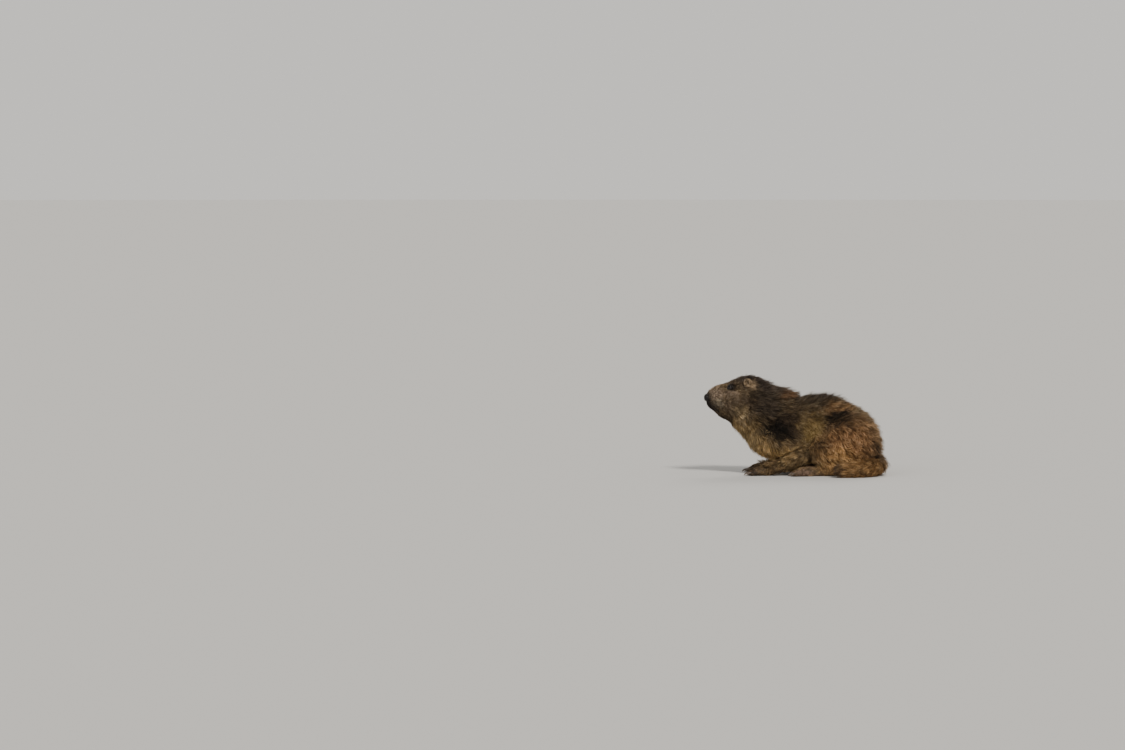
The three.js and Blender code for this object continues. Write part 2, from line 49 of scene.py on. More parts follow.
# Skin
# The animal under its fur: one closed skin over muscle masses, from the lips to the ears, the toes and
# the tail. The masses are joined as spheres, remeshed, and pressed to one smooth surface. Lengths are
# in millimetres in the animal's own frame: it faces -X, its left side is -Y and the floor is Z = 0.
NOSE_MIDDLE = np.array([-183.0, 0.0, 161.0])
NOSE_SIZE = (10, 8.8, 8.2)
NOSE_PITCH = 10
nose_box = np.array([list(corner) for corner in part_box("nose")]) * 1000
SHIFT = (nose_box.mean(0) - NOSE_MIDDLE) * [1, 1, 0]

# Each mass reaches out to the tips of the coat. It has its middle, its half sizes and its pitch in
# degrees, with the front down. One that is off the middle line stands for both sides.
HEAD_MASSES = {
    "muzzle": ((-166, 0, 158), (22.5, 18, 16.5), 0),
    "whisker pad": ((-167, 9, 150), (17, 12.5, 13), 20),
    "chin": ((-164, 0, 144), (15, 12, 11), -30),
    "nose bridge": ((-154, 0, 172), (31, 17, 17), 15),
    "skull": ((-112, 0, 170.5), (42, 29, 31.5), 9),
    "brow": ((-131, 15, 181), (20, 11, 10), 17),
    "cheek": ((-126, 19, 152), (32, 20, 26), 10),
    "jaw": ((-142, 0, 139), (29, 23, 25), -38),
}
BODY_MASSES = {
    "throat": ((-104, 0, 118), (39.5, 36, 35.5), -49),
    "nape": ((-66.5, 0, 154.5), (61.5, 43, 39.5), -42),
    "neck": ((-64.5, 0, 122), (51.5, 49, 57.5), -35),
    "breast": ((-59, 0, 80.5), (55.5, 50, 43), -40),
    "withers": ((-36, 0, 128.5), (54, 50, 55.5), -14),
    "shoulder": ((-22, 38, 88), (42, 28, 50), -15),
    "chest": ((-8, 0, 72), (60, 54, 46), -6),
    "ribs": ((22, 0, 97.5), (70, 61, 69), 0),
    "loin": ((66, 0, 95.5), (66, 66, 72.5), 0),
    "belly": ((40, 0, 58), (80, 60, 46), 8),
    "rump": ((113.5, 0, 66.5), (68, 70, 82), 21),
    "haunch": ((108, 45, 64), (69, 43, 70), -20),
    "knee": ((56, 56, 46), (31, 25, 41), 20),
}
PAW_MASSES = {
    "forepaw": ((-71, 46, 9), (20, 12.5, 10), 0),
    "hind paw": ((14, 64, 8), (21, 14, 8.5), 0),
}
# The limbs are rods: places along the middle of each, and the half thickness there, without the coat.
FOREARM = (
    [(22, 44, 42), (-4, 49, 30), (-30, 49, 21), (-55, 47, 14), (-72, 46, 10)],
    [15, 14, 10, 7.5, 7],
)
HIND_SOLE = ([(80, 60, 12), (56, 61, 11.5), (24, 63, 9.5), (7, 64, 8)], [9.5, 10.5, 9.5, 7.5])
TAIL_PATH = [
    (158, 0, 58),
    (171, -12, 36),
    (172, -38, 21),
    (155, -74, 17),
    (126, -98, 15.5),
    (94, -106, 14.5),
]
TAIL_RADIUS = 17.5
# How far the surfaces round where masses and forms meet.
HEAD_BLEND = 9
BODY_BLEND = 14
FORM_BLENDS = {"arm": 10, "paw": 5, "tail": 9, "ear": 3}
# How deep the coat lies over each part.
TRUNK_COAT = 12.0
CHEEK_COAT = 4.5
MUZZLE_COAT = 1.8
TAIL_COAT = 9.0
LIMB_COAT = 5.5
PAW_COAT = 1.2
EAR_COAT = 1.4


def step_up(x, low, high):
    """0 below low, 1 above high, and smooth between."""
    t = np.clip((np.asarray(x, float) - low) / (high - low), 0, 1)
    return t * t * (3 - 2 * t)


def mirrored(points):
    """The same points, all on the right side."""
    return np.stack([points[:, 0], np.abs(points[:, 1]), points[:, 2]], 1)


def mass_distance(points, at, radii, pitch=0.0):
    """About how far points are outside an ellipsoid, and below 0 inside it."""
    cosine, sine = math.cos(math.radians(pitch)), math.sin(math.radians(pitch))
    x, y, z = (points - at).T
    local = np.stack([cosine * x + sine * z, y, cosine * z - sine * x], 1)
    near = np.linalg.norm(local / radii, axis=1)
    slope = np.linalg.norm(local / np.square(radii), axis=1)
    return near * (near - 1) / np.maximum(slope, 1e-6)


def rod_distance(points, places, radii):
    """How far points are outside a chain of tapered rods with round joints."""
    nearest = np.full(len(points), 1e3)
    for a, b, thick, thin in zip(places[:-1], places[1:], radii[:-1], radii[1:]):
        span = np.subtract(b, a).astype(float)
        share = np.clip((points - a) @ span / (span @ span), 0, 1)
        away = np.linalg.norm(points - a - share[:, None] * span, axis=1)
        nearest = np.minimum(nearest, away - thick - (thin - thick) * share)
    return nearest


def blended(a, b, reach):
    """The nearer of two surfaces, rounded where they meet."""
    h = np.maximum(reach - np.abs(a - b), 0) / reach
    return np.minimum(a, b) - h * h * reach * 0.25


def masses_distance(points, masses, reach):
    """How far points are outside a group of masses, each blended into the next."""
    distance = np.full(len(points), 1e3)
    folded = mirrored(points)
    for at, radii, pitch in masses.values():
        places = folded if at[1] else points
        close = np.linalg.norm(places - at, axis=1) < max(radii) + 40
        distance[close] = blended(distance[close], mass_distance(places[close], at, radii, pitch), reach)
    return distance


def coat_outline(points):
    """How far points are outside the tips of the coat, over the head and trunk."""
    head = masses_distance(points, HEAD_MASSES, HEAD_BLEND)
    return blended(head, masses_distance(points, BODY_MASSES, BODY_BLEND), BODY_BLEND)


def behind_head(points):
    """How far points lie behind the plane where the head meets the neck."""
    return 0.8 * (points[:, 0] + 110) - 0.6 * (points[:, 2] - 158)


def coat_depth(points):
    """How deep the coat lies over the head and trunk: short on the face, and thinner near the floor."""
    face = MUZZLE_COAT + (CHEEK_COAT - MUZZLE_COAT) * step_up(points[:, 0], -165, -120)
    trunk = TRUNK_COAT * (0.5 + 0.5 * step_up(points[:, 2], 0, 45))
    return face + (trunk - face) * step_up(behind_head(points), -20, 40)


def smooth_curve(path, steps):
    """Places along a smooth line through the path's points."""
    points = np.array([path[0]] + list(path) + [path[-1]], float)
    places = []
    for i in range(1, len(points) - 2):
        a, b, c, d = points[i - 1 : i + 3]
        for t in np.arange(steps) / steps:
            bend = (2 * a - 5 * b + 4 * c - d) * t * t
            places.append(0.5 * (2 * b + (c - a) * t + bend + (3 * b - a - 3 * c + d) * t**3))
    return np.array(places + [points[-1]])


tail_line = smooth_curve(TAIL_PATH, 6)
along_tail = np.linspace(0, 1, len(tail_line))
tail_girth = (0.72 + 0.28 * step_up(along_tail, 0, 0.45)) * (1 - 0.2 * step_up(along_tail, 0.7, 1))
tail_bare = TAIL_RADIUS * tail_girth - TAIL_COAT


def toe_rods(root_x, tip_x, middle_y, spread, shorter, fan, radius):
    """Toes as tapered rods: the root, knuckle and tip of each, with the half thickness there."""
    rods = []
    for aside, back in zip(spread, shorter):
        tip = (tip_x + back + 2.5, middle_y + aside * fan, radius - 0.5)
        knuckle = (0.6 * root_x + 0.4 * tip[0], middle_y + aside * (0.6 + 0.4 * fan), 7.4)
        places = [(root_x, middle_y + aside, 7), knuckle, tip]
        rods.append((places, [radius * 0.8, radius * 0.92, radius * 0.7]))
    return rods


FORE_TOES = toe_rods(-79, -100, 46, (-10.5, -3.6, 3.6, 10.5), (4, 0, 0, 4), 1.25, 5)
HIND_TOES = toe_rods(6, -12, 64, (-13, -6.5, 0, 6.5, 13), (8, 1.5, 0, 1.5, 6), 1.15, 4.8)


def leave(start, direction):
    """The place where a ray leaves the outline of the head."""
    ray = np.array(start, float) + np.linspace(0, 60, 601)[:, None] * direction
    return ray[np.argmax(coat_outline(ray) > 0)]


EYE_RADIUS = 6.0
EYE_SHOWS = 2.2
eye_surface = leave((-138.5, 0, 184.3), (0, 1, 0))
eye_lean = coat_outline(eye_surface + np.eye(3)) - coat_outline(eye_surface - np.eye(3))
EYE_OUT = eye_lean / np.linalg.norm(eye_lean)
EYE = eye_surface + EYE_OUT * (EYE_SHOWS - EYE_RADIUS)
SOCKET_RADIUS = 6.15

EAR = leave((-99, 0, 190), (0, 1, 0)) + [-1.5, 0.8, 2.5]
EAR_SIZE = (4.2, 8.2, 8.6)
EAR_CUP = (5.4, 5.8, 6.2)
CUP_OFFSET = (-4.4, 0, 1.0)
EAR_YAW = -54
EAR_ROLL = -20
EAR_BASE = EAR + [1, -3, -9]
ear_lean = Matrix.Rotation(math.radians(EAR_ROLL), 3, "X")
EAR_TURN = Matrix.Rotation(math.radians(EAR_YAW), 3, "Z") @ ear_lean


def ear_distance(points):
    """How far points are outside an ear: a small shell, hollowed on its front."""
    local = (mirrored(points) - EAR) @ np.array(EAR_TURN)
    shell = mass_distance(local, (0, 0, 0), EAR_SIZE)
    return np.maximum(shell, -mass_distance(local, CUP_OFFSET, EAR_CUP))


def mouth_place(share):
    """A place on the right half of the line of the mouth, from the front to its corner."""
    turn = math.radians(80 * share)
    start = (-172 + 13 * share, 0, 146.5 - 13.5 * share**1.3)
    return leave(start, (-math.cos(turn), math.sin(turn), 0)) - [0, 0, 0.5]


MOUTH = [mouth_place(share) for share in (0, 0.2, 0.4, 0.6, 0.8, 1)]
LIP_CLEFT = [leave((-172, 0, z), (-1, 0, 0)) for z in (153, 150, 147)]
MOUTH_GROOVE = 1.2
CLEFT_GROOVE = 0.9


def from_mouth(points):
    """How far points are from the line of the mouth."""
    return rod_distance(mirrored(points), MOUTH, [0] * len(MOUTH))


def forms_distance(points):
    """How far points are outside each form of the bare body."""
    far = np.full(len(points), 1e3)
    forms = {"body": coat_outline(points) + coat_depth(points)}
    forms.update(arm=far.copy(), paw=far.copy(), tail=far.copy(), ear=far.copy())
    low = points[:, 2] < 80
    folded = mirrored(points[low])
    forms["arm"][low] = rod_distance(folded, *FOREARM)
    paws = blended(masses_distance(points[low], PAW_MASSES, 6), rod_distance(folded, *HIND_SOLE), 6)
    for rod in FORE_TOES + HIND_TOES:
        paws = blended(paws, rod_distance(folded, *rod), 2.2)
    forms["paw"][low] = paws
    forms["tail"][low] = rod_distance(points[low], tail_line, tail_bare)
    high = (points[:, 2] > 165) & (points[:, 0] < -70)
    forms["ear"][high] = ear_distance(points[high])
    return forms


def skin_distance(points, with_face=True):
    """How far points are outside the skin, with its eye sockets and the line of its mouth."""
    forms = forms_distance(points)
    distance = forms["body"]
    for name, reach in FORM_BLENDS.items():
        distance = blended(distance, forms[name], reach)
    face = points[:, 0] < -110
    if with_face and face.any():
        folded = mirrored(points[face])
        socket = SOCKET_RADIUS - np.linalg.norm(folded - EYE, axis=1)
        groove = rod_distance(folded, MOUTH, [MOUTH_GROOVE] * len(MOUTH))
        groove = np.minimum(groove, rod_distance(folded, LIP_CLEFT, [CLEFT_GROOVE] * len(LIP_CLEFT)))
        distance[face] = -blended(-np.maximum(distance[face], socket), groove, 1.2)
    return distance


def out_of_skin(points, with_face=True):
    """The distance of points from the skin, and the direction straight out of it there."""
    distance = skin_distance(points, with_face)
    ahead = [skin_distance(points + step, with_face) - distance for step in 0.4 * np.eye(3)]
    outwards = np.stack(ahead, 1)
    return distance, outwards / np.maximum(np.linalg.norm(outwards, axis=1, keepdims=True), 1e-9)


def pressed(points, height=0.0, times=2, with_face=True):
    """Points moved straight in or out to a height over the skin."""
    for _ in range(times):
        distance, outwards = out_of_skin(points, with_face)
        points = points + outwards * np.clip(height - distance, -6, 6)[:, None]
    return points


def mesh_points(piece):
    """A piece's vertices in the animal's millimetres."""
    flat = np.empty(len(piece.data.vertices) * 3)
    piece.data.vertices.foreach_get("co", flat)
    return flat.reshape(-1, 3) * 1000 - SHIFT


def place_points(piece, points):
    """Puts a piece's vertices at places in the animal's millimetres."""
    piece.data.vertices.foreach_set("co", ((points + SHIFT) / 1000).ravel())
    piece.data.update()


def select_only(piece):
    """Makes a piece the only one selected, and active."""
    bpy.ops.object.select_all(action="DESELECT")
    piece.select_set(True)
    bpy.context.view_layer.objects.active = piece


def add_ball(at, radii, pitch=0.0, segments=20):
    """Adds a sphere stretched to an ellipsoid at a place in the animal's frame."""
    place = (np.array(at) + SHIFT) / 1000
    bpy.ops.mesh.primitive_uv_sphere_add(segments=segments, ring_count=segments // 2, location=place)
    ball = bpy.context.active_object
    ball.scale = np.array(radii) / 1000
    ball.rotation_euler = (0, -math.radians(pitch), 0)
    return ball


def both_sides(at):
    """A place on the right side and the same on the left, or one on the middle line."""
    return [(at[0], at[1] * side, at[2]) for side in ((1, -1) if at[1] else (1,))]


bpy.ops.object.select_all(action="DESELECT")
balls = []
for masses, inset in ((HEAD_MASSES, 3), (BODY_MASSES, 7), (PAW_MASSES, 0)):
    for at, radii, pitch in masses.values():
        balls += [add_ball(place, np.array(radii) - inset, pitch) for place in both_sides(at)]
for places, radii in [FOREARM, HIND_SOLE] + FORE_TOES + HIND_TOES:
    path = smooth_curve(places, 4)
    thickness = np.interp(np.linspace(0, 1, len(path)), np.linspace(0, 1, len(radii)), radii)
    for at, radius in zip(path, thickness):
        balls += [add_ball(place, [radius] * 3, segments=12) for place in both_sides(at)]
balls += [add_ball(at, [radius] * 3, segments=14) for at, radius in zip(tail_line, tail_bare)]
for side in (1, -1):
    ear = add_ball(EAR * [1, side, 1], EAR_SIZE)
    ear.rotation_euler = (math.radians(EAR_ROLL * side), 0, math.radians(EAR_YAW * side))
    balls.append(ear)
for ball in balls:
    ball.select_set(True)
bpy.ops.object.join()
bpy.ops.object.transform_apply(location=True, rotation=True, scale=True)
skin = bpy.context.active_object
skin.name = "skin"

SKIN_GRAIN = 2.3
remesh = skin.modifiers.new("Remesh", "REMESH")
remesh.mode = "VOXEL"
remesh.voxel_size = SKIN_GRAIN / 1000
bpy.ops.object.modifier_apply(modifier="Remesh")
place_points(skin, pressed(mesh_points(skin), times=3))

# The head is cut finer than the body, for its mouth, eyes and ears.
middles = np.empty(len(skin.data.polygons) * 3)
skin.data.polygons.foreach_get("center", middles)
middles = middles.reshape(-1, 3) * 1000 - SHIFT
on_face = (middles[:, 0] < -88) & (middles[:, 2] - 1.3 * middles[:, 0] > 262)
select_only(skin)
bpy.context.tool_settings.mesh_select_mode = (False, False, True)
bpy.ops.object.mode_set(mode="EDIT")
bpy.ops.mesh.select_all(action="DESELECT")
bpy.ops.object.mode_set(mode="OBJECT")
skin.data.polygons.foreach_set("select", on_face)
bpy.ops.object.mode_set(mode="EDIT")
bpy.ops.mesh.subdivide(number_cuts=1)
bpy.ops.mesh.select_all(action="SELECT")
bpy.ops.mesh.vertices_smooth(factor=0.5, repeat=2)
bpy.ops.mesh.quads_convert_to_tris()
bpy.ops.object.mode_set(mode="OBJECT")
settled = pressed(mesh_points(skin), times=2)
FLOOR_GAP = 0.2
settled[:, 2] = np.maximum(settled[:, 2], FLOOR_GAP)
place_points(skin, settled)
bpy.ops.object.shade_smooth()

# The unwrap of the skin. Each tuft of the coat keeps its colours at its root's place on it.
bpy.ops.object.mode_set(mode="EDIT")
bpy.ops.mesh.select_all(action="SELECT")
bpy.ops.uv.smart_project(angle_limit=math.radians(60), island_margin=0.003)
bpy.ops.object.mode_set(mode="OBJECT")
skin.data.uv_layers[0].name = "OFBake"


# Markings and painted light
# An alpine marmot is dark on the crown, back and shoulder, rufous on the haunches, and pale on the muzzle
# and the fringe of the chest. Some patches paint light and shade into the hair's colour: painted shade in
# the hollow behind the shoulder, under the elbow, under the fold of the haunch, under the nose and chin and
# in the crease of the mouth, and a painted highlight along the top of the haunch; the fringe and the low
# haunch are made lighter by painted light as well. Each patch has a middle, half sizes, a colour and a
# strength.
def linear(hex_colour):
    """An sRGB hex colour as linear red, green and blue."""
    values = np.array([int(hex_colour[i : i + 2], 16) for i in (1, 3, 5)]) / 255
    return np.where(values <= 0.04045, values / 12.92, ((values + 0.055) / 1.055) ** 2.4)


GROUND_COLOUR = "#705d42"
# the line of the mouth: the lips' own dark colour, and painted shade in the crease between them
LIP_AND_CREASE_SHADE_COLOUR = "#2b211c"
BODY_PATCHES = [
    ("belly", (30, 0, 5), (150, 90, 40), "#8f7448", 1.0),
    ("back", (30, 0, 180), (130, 60, 60), "#2e251d", 1.0),
    ("nape", (-70, 0, 196), (66, 60, 40), "#41362c", 1.0),
    ("neck side", (-80, 48, 148), (46, 44, 36), "#332a22", 0.95),
    ("throat", (-112, 0, 104), (42, 50, 34), "#947a50", 0.9),
    ("breast", (-92, 0, 76), (40, 60, 32), "#a48a60", 0.9),
    ("shoulder", (-36, 60, 116), (48, 56, 30), "#33261a", 1.0),
    # painted shade: the hollow behind the shoulder and under the neck is darkened as if in shadow
    ("painted shade in shoulder hollow", (-58, 56, 102), (36, 46, 17), "#0a0705", 1.0),
    ("flank", (24, 66, 98), (34, 50, 44), "#8f7546", 1.0),
    # the chest's pale fringe, made lighter still as painted light on an underside that turns down into
    # shade
    ("fringe", (-46, 0, 52), (66, 84, 33), "#d3ad73", 1.0),
    ("elbow shade", (22, 64, 62), (28, 44, 18), "#46361f", 0.85),
    ("nape patch", (-28, 34, 170), (24, 40, 12), "#6d4e34", 0.8),
    ("haunch", (112, 76, 62), (78, 70, 76), "#9c754f", 1.0),
    # the orange-tan hair of the lower haunch, made lighter still as painted light, as if lit from low in
    # front
    ("haunch low", (94, 80, 34), (62, 60, 36), "#bf9560", 0.95),
    ("rump", (172, 0, 84), (40, 90, 86), "#8c7050", 0.9),
    ("rump streak", (162, 52, 48), (11, 46, 38), "#1f160f", 1.0),
    # the haunch's lighter hair along its upper edge, with a painted highlight as if lit from above
    ("haunch edge hair and painted highlight", (84, 50, 139), (50, 50, 11), "#957049", 0.9),
    # painted shade: a dark band under the fold at the top of the haunch, where shadow falls
    ("painted shade under haunch fold", (72, 60, 123), (42, 60, 19), "#1e150e", 1.0),
    ("tail", (150, -70, 16), (60, 70, 26), "#8c6940", 1.0),
    ("tail end", (88, -110, 15), (34, 30, 30), "#3a2a1d", 0.9),
    ("forelegs", (-40, 48, 14), (50, 24, 22), "#7a6243", 0.9),
    ("forepaws", (-88, 46, 4), (26, 26, 16), "#5f4c3a", 1.0),
    ("hind feet", (14, 64, 2), (44, 26, 16), "#957864", 1.0),
]
FACE_PATCHES = [
    ("crown", (-108, 0, 206), (54, 44, 22), "#3b3029", 1.0),
    ("forehead", (-138, 0, 197), (26, 24, 14), "#41352b", 1.0),
    ("cheek", (-126, 34, 148), (36, 30, 28), "#665543", 0.9),
    ("cheek tufts", (-119, 40, 136), (25, 28, 19), "#a08a66", 0.9),
    ("under eye", (-142, 26, 169), (16, 16, 8), "#7a6856", 0.9),
    ("muzzle", (-166, 0, 166), (22, 32, 19), "#a08b76", 1.0),
    ("whisker pad", (-162, 16, 152), (13, 18, 9), "#a6977f", 1.0),
    # painted shade: the front of the muzzle under the nose is darkened where it turns away from the light
    ("painted shade under nose", (-189, 0, 154), (19, 34, 23), "#211917", 1.0),
    # painted shade: the hair under the chin is darkened as if in shadow
    ("chin", (-179, 0, 140), (21, 34, 15), "#231b16", 1.0),
    ("jaw", (-154, 0, 120), (30, 26, 12), "#3d2f23", 1.0),
    ("eye ring", tuple(EYE), (10.5, 10, 8.5), "#2b211b", 1.0),
    ("ear", tuple(EAR), (13, 13, 13), "#a58c6d", 1.0),
    ("ear hollow", tuple(EAR + [-3, 3, -1.5]), (4, 4, 4.5), "#6d5a46", 0.7),
]


BODY_MOTTLE = 0.3  # how strongly lighter and darker spots alternate
FACE_MOTTLE = 0.16


def ripple(points, wavelength, seed):
    """Smooth noise over places, mostly from -1 to 1, with about one wavelength in millimetres."""
    random = np.random.default_rng(seed)
    total = np.zeros(len(points))
    for _ in range(6):
        direction = random.normal(size=3)
        direction *= 2 * math.pi / (wavelength * random.uniform(0.7, 1.4) * np.linalg.norm(direction))
        total += np.sin(points @ direction + random.uniform(0, 2 * math.pi))
    return total / 3


def markings_and_painted_light(points):
    """The colour of the hair at each point: its markings, with the painted shade and painted highlight of
    some patches.
    """
    warped = points + 6 * np.stack([ripple(points, 40, seed) for seed in (1, 2, 3)], 1)
    warped += 4 * np.stack([ripple(points, 15, seed) for seed in (5, 6, 7)], 1)
    colours = np.repeat(linear(GROUND_COLOUR)[None], len(points), 0)
    for patches, places in ((BODY_PATCHES, warped), (FACE_PATCHES, points)):
        for _, at, radii, colour, strength in patches:
            folded = mirrored(places) if at[1] > 0 else places
            share = strength * (1 - step_up(np.linalg.norm((folded - at) / radii, axis=1), 0.4, 1.25))
            colours += (linear(colour) - colours) * share[:, None]
    # dark lips along the mouth, with painted shade in its crease
    near_mouth = 1 - step_up(from_mouth(points), 1, 5.5)
    colours += (linear(LIP_AND_CREASE_SHADE_COLOUR) - colours) * near_mouth[:, None]
    strength = BODY_MOTTLE + (FACE_MOTTLE - BODY_MOTTLE) * step_up(-points[:, 0], 120, 150)
    mottle = ripple(points, 14, 4) + ripple(points, 9, 9)
    return colours * np.exp(strength * mottle)[:, None]


def keep_markings_and_painted_light(mesh, colours):
    """Stores the hair's colours on a mesh's vertices."""
    values = np.concatenate([np.clip(colours, 0, 1), np.ones((len(colours), 1))], 1)
    attribute = mesh.attributes.new("marking_and_painted_light", "FLOAT_COLOR", "POINT")
    attribute.data.foreach_set("color", values.astype(np.float32).ravel())


def keep_values(mesh, name, values):
    """Stores a number on each of a mesh's vertices."""
    mesh.attributes.new(name, "FLOAT", "POINT").data.foreach_set("value", values)


UNDERCOAT_SHADE = 0.4
keep_markings_and_painted_light(skin.data, markings_and_painted_light(mesh_points(skin)) * UNDERCOAT_SHADE)


def add_node(material, kind, inputs=(), **settings):
    """Adds a node with its settings, and its inputs as values or as links from other nodes."""
    node = material.node_tree.nodes.new(kind)
    for name, value in settings.items():
        setattr(node, name, value)
    for name, value in dict(inputs).items():
        if isinstance(value, bpy.types.NodeSocket):
            material.node_tree.links.new(value, node.inputs[name])
        else:
            node.inputs[name].default_value = value
    return node


def new_material(name):
    """A new material with no nodes yet."""
    material = bpy.data.materials.new(name)
    material.use_nodes = True
    material.node_tree.nodes.clear()
    return material


def finish_material(material, inputs):
    """Gives a material its surface: a shader with these inputs."""
    shader = add_node(material, "ShaderNodeBsdfPrincipled", inputs)
    add_node(material, "ShaderNodeOutputMaterial", {"Surface": shader.outputs[0]})


def grain_normal(material, scale, detail, strength, distance):
    """Adds a fine bumpy grain to a material, and gives back its way for the shader to face."""
    place = add_node(material, "ShaderNodeTexCoord")
    noise = {"Vector": place.outputs["Object"], "Scale": scale, "Detail": detail}
    height = add_node(material, "ShaderNodeTexNoise", noise).outputs["Fac"]
    bump = {"Height": height, "Strength": strength, "Distance": distance}
    return add_node(material, "ShaderNodeBump", bump).outputs["Normal"]


def two_tones(material, share, first, last):
    """Adds a colour that goes from one hex colour to another."""
    tone = add_node(material, "ShaderNodeValToRGB", {"Fac": share})
    tone.color_ramp.elements[0].color = (*linear(first), 1)
    tone.color_ramp.elements[1].color = (*linear(last), 1)
    return tone.outputs["Color"]


# Living skin under fine down. The down's grain is about 0.8 mm, as coarse as the render shows it.
DOWN_GRAIN = 0.8
downy_skin = new_material("downy skin")
skin_colours = add_node(downy_skin, "ShaderNodeAttribute", attribute_name="marking_and_painted_light")
down_normal = grain_normal(downy_skin, 1000 / DOWN_GRAIN, 3.0, 0.5, 0.0008)
finish_material(
    downy_skin, {"Base Color": skin_colours.outputs["Color"], "Normal": down_normal, "Roughness": 0.8}
)
skin.data.materials.append(downy_skin)
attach(skin, "root")
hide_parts("head", "neck", "torso", "tail")
for part in ("ear", "foreleg", "haunch", "forefoot", "hindfoot"):
    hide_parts(f"{part}_left", f"{part}_right")

# Coat
# The hair grows in fine pointed tufts that overlap down the body, about 25 mm long on the back and 3 mm
# at the nose. Each tuft is a thin three-sided blade that leans over from its root and follows the skin.
corners = np.empty(len(skin.data.polygons) * 3, np.int32)
skin.data.polygons.foreach_get("vertices", corners)
patch_corners = mesh_points(skin)[corners.reshape(-1, 3)]
skin_uv = np.empty(len(skin.data.loops) * 2)
skin.data.uv_layers["OFBake"].data.foreach_get("uv", skin_uv)
skin_uv = skin_uv.reshape(-1, 3, 2)
edge_one = patch_corners[:, 1] - patch_corners[:, 0]
edge_two = patch_corners[:, 2] - patch_corners[:, 0]
patch_areas = 0.5 * np.linalg.norm(np.cross(edge_one, edge_two), axis=1)
patch_middles = patch_corners.mean(1)
patch_forms = forms_distance(patch_middles)
nearest_form = np.argmin(np.stack(list(patch_forms.values())), 0)
on_form = {name: nearest_form == i for i, name in enumerate(patch_forms)}


def unit(vectors):
    """Each vector at a length of 1."""
    return vectors / np.maximum(np.linalg.norm(vectors, axis=1, keepdims=True), 1e-9)


def lie_of_body(points):
    """The way the hair lies: back along the body, down the throat and chest, and steep on the rump."""
    x, y, z = points.T
    down_angle = np.radians(22 + 18 * step_up(x, -60, 60) + 44 * step_up(x, 70, 175))
    face_angle = np.radians(-16 + 38 * step_up(x, -150, -105))
    down_angle = np.where(x < -105, face_angle, down_angle)
    lie = np.stack([np.cos(down_angle), 0 * x, -np.sin(down_angle)], 1)
    front = step_up(-z - 0.9 * x, -70, -10) * (x < -40)
    return lie + front[:, None] * [-0.3, 0, -0.6]


def lie_of_arm(points):
    """The hair of a foreleg lies forwards and down."""
    return np.repeat([[-0.8, 0.0, -0.6]], len(points), 0)


def lie_of_paw(points):
    """The hair of a foot lies towards the toes."""
    return np.repeat([[-1.0, 0.0, -0.15]], len(points), 0)


def lie_of_tail(points):
    """The hair of the tail lies along it, towards its end."""
    nearest = np.argmin(np.linalg.norm(points[:, None] - tail_line[None], axis=2), 1)
    return unit(np.gradient(tail_line, axis=0))[nearest]


def lie_of_ear(points):
    """The hair of an ear fans out from the ear's base."""
    lie = mirrored(points) - EAR_BASE
    lie[:, 1] *= np.sign(points[:, 1])
    return lie


NOSE_HAIR = 3
CHEEK_HAIR = 12
BACK_HAIR = 25
LESS_LOW_DOWN = 6  # than on the back
LESS_BEHIND = 6


def body_length(points):
    """The length of the hair on the head and trunk, which is shorter round the mouth and the eyes."""
    face = NOSE_HAIR + (CHEEK_HAIR - NOSE_HAIR) * step_up(points[:, 0], -186, -118)
    face *= 0.35 + 0.65 * step_up(from_mouth(points), 1, 7)
    face *= 0.45 + 0.55 * step_up(np.linalg.norm(mirrored(points) - EYE, axis=1), 7, 14)
    trunk = BACK_HAIR - LESS_LOW_DOWN * step_up(-points[:, 2], -40, 0)
    trunk -= LESS_BEHIND * step_up(points[:, 0], 10, 70)
    return face + (trunk - face) * step_up(behind_head(points), -24, 40)


GUARD_SHARE = 0.35  # of the locks are guard hairs, which stand out of the coat
GUARD_THINNER = 0.85
GUARD_LONGER = 1.15
GUARD_PULL = 0.55  # how far the tip of a guard hair leans to its lock's tip
LOCK_PULL = 0.35
LOCK_CHANCE = 0.7  # how far the hairs of a lock share their shade
THINNEST = 0.46
THICKENING = 0.023  # for each millimetre of length
SWIRL = 0.2
SWIRL_WIDTH = 26
HAIR_PATCH = 0.003  # across a tuft's place on the unwrap
BLADE = np.array([[-1.0, -0.3], [1.0, -0.3], [0.0, 0.5]])  # a tuft's section, across and up


def random_roots(random, patches, count):
    """Places spread evenly over some patches of the skin, and where they are on the unwrap."""
    chosen = random.choice(patches, count, p=patch_areas[patches] / patch_areas[patches].sum())
    cuts = np.sort(random.random((count, 2)), 1)
    weights = np.stack([cuts[:, 0], cuts[:, 1] - cuts[:, 0], 1 - cuts[:, 1]], 1)[:, :, None]
    return (patch_corners[chosen] * weights).sum(1), (skin_uv[chosen] * weights).sum(1)


def nearest_leaders(roots, number):
    """Which of the first roots leads each root: the one that is nearest."""
    leaders = KDTree(number)
    for i in range(number):
        leaders.insert(roots[i], i)
    leaders.balance()
    return np.array([leaders.find(root)[1] for root in roots])


def tuft_faces(rings):
    """The triangles of one tuft: its root, the sides between its rings, and its tip."""
    tip = 3 * rings
    faces = [(2, 1, 0)]
    for ring in range(0, tip - 3, 3):
        for a, b in ((0, 1), (1, 2), (2, 0)):
            faces += [(ring + a, ring + b, ring + b + 3), (ring + a, ring + b + 3, ring + a + 3)]
    return faces + [(tip - 3, tip - 2, tip), (tip - 2, tip - 1, tip), (tip - 1, tip - 3, tip)]


